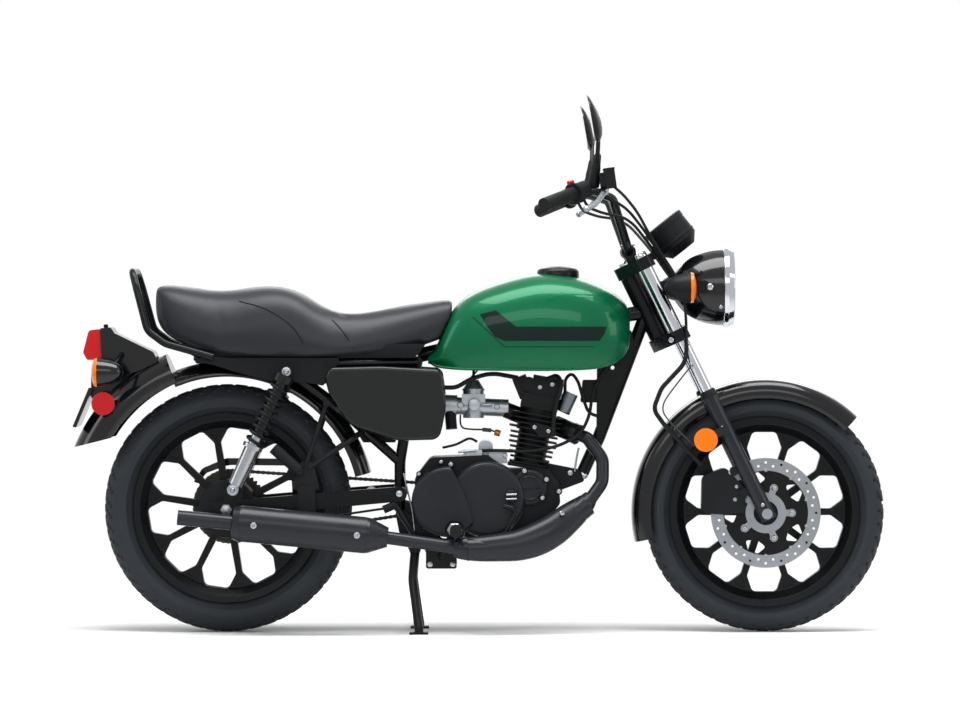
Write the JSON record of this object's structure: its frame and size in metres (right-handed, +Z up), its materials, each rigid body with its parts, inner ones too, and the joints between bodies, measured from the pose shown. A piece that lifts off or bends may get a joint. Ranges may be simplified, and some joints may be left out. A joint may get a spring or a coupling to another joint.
{
  "type": "standard motorcycle",
  "caption": "Small retro street motorcycle with round headlamp, long bench seat, air-cooled upright engine, cast wheels, front disc and rear drum, on its centre stand.",
  "frame": {"origin": "on the floor under the middle of the overall length, in the plane of symmetry", "axes": "+X to the front, +Y to the rider's left, +Z up"},
  "size_m": [2.0019, 0.8182, 1.3176],
  "materials": {
    "frame_black": "gloss black stove enamel",
    "tank_green": "metallic green with clear coat",
    "satin_black": "satin black heat-proof paint",
    "engine_black": "satin black engine paint",
    "cover_grey": "semi-gloss charcoal paint",
    "fender_black": "gloss black",
    "side_cover_grey": "semi-gloss charcoal",
    "trim_black": "moulded black",
    "seat_vinyl": "grained charcoal vinyl",
    "cast_aluminium": "as cast",
    "chrome": "polished",
    "steel": "ground",
    "damper_silver": "satin",
    "chain_steel": "oiled",
    "tyre": "black",
    "rubber": "black",
    "amber": "clear amber",
    "red": "clear red",
    "lamp_glass": "clear",
    "mirror_black": "satin black"
  },
  "bodies": {
    "chassis": {"frame": "frame_black", "swingarm": "frame_black", "rear_axle": "steel", "brake_panel": "engine_black", "drive_chain": "chain_steel", "chain_guard": "fender_black", "rear_fender": "fender_black", "tank": "tank_green", "fuel_cap": "trim_black", "seat": "seat_vinyl", "side_covers": "side_cover_grey", "seat_rail_panels": "trim_black", "air_box": "trim_black", "crankcase": "engine_black", "engine_covers": "cover_grey", "cylinder": "engine_black", "cylinder_head": "engine_black", "carburettor": "cast_aluminium", "starter_motor": "cast_aluminium", "engine_wiring": "rubber", "exhaust_pipe": "satin_black", "muffler": "satin_black", "exhaust_shields": "satin_black", "footpeg_bar": "frame_black", "footpeg_rubbers": "rubber", "foot_pedals": "frame_black", "passenger_pegs": "rubber", "grab_rail": "frame_black", "tail_lamp": "fender_black", "tail_lens": "red", "rear_lenses": "amber", "shock_bodies": "damper_silver", "shock_springs": "frame_black"},
    "steering": {"fork_clamps": "frame_black", "fork_sliders": "engine_black", "fork_tubes": "chrome", "front_axle": "steel", "handlebar": "frame_black", "grips": "rubber", "hand_controls": "trim_black", "hand_levers": "cast_aluminium", "mirrors": "mirror_black", "instrument": "trim_black", "headlamp_shell": "fender_black", "headlamp_rim": "chrome", "headlamp_lens": "lamp_glass", "front_indicators": "trim_black", "front_lenses": "amber", "front_fender": "fender_black", "caliper": "engine_black", "brake_hose": "rubber", "control_cables": "rubber"},
    "front_wheel": {"front_tyre": "tyre", "front_rim": "frame_black", "brake_disc": "steel"},
    "rear_wheel": {"rear_tyre": "tyre", "rear_rim": "frame_black", "rear_sprocket": "steel"},
    "centre_stand": {"centre_stand": "frame_black"},
    "side_stand": {"side_stand": "frame_black"}
  },
  "joints": [
    {"name": "steering", "type": "hinge", "parent": "chassis", "child": "steering", "pos_m": [0.40991, 0, 0.80295], "axis": [-0.4384, 0, 0.8988], "range_deg": [-38, 38]},
    {"name": "front_wheel_spin", "type": "hinge", "parent": "steering", "child": "front_wheel", "pos_m": [0.705, 0, 0.296], "axis": [0, 1, 0], "continuous": true},
    {"name": "rear_wheel_spin", "type": "hinge", "parent": "chassis", "child": "rear_wheel", "pos_m": [-0.62, 0, 0.306], "axis": [0, 1, 0], "continuous": true},
    {"name": "centre_stand_fold", "type": "hinge", "parent": "chassis", "child": "centre_stand", "pos_m": [-0.158, 0, 0.205], "axis": [0, 1, 0], "range_deg": [0, 66]},
    {"name": "side_stand_fold", "type": "hinge", "parent": "chassis", "child": "side_stand", "pos_m": [-0.12, 0.096, 0.214], "axis": [0, 1, 0], "range_deg": [-100, 0]}
  ]
}
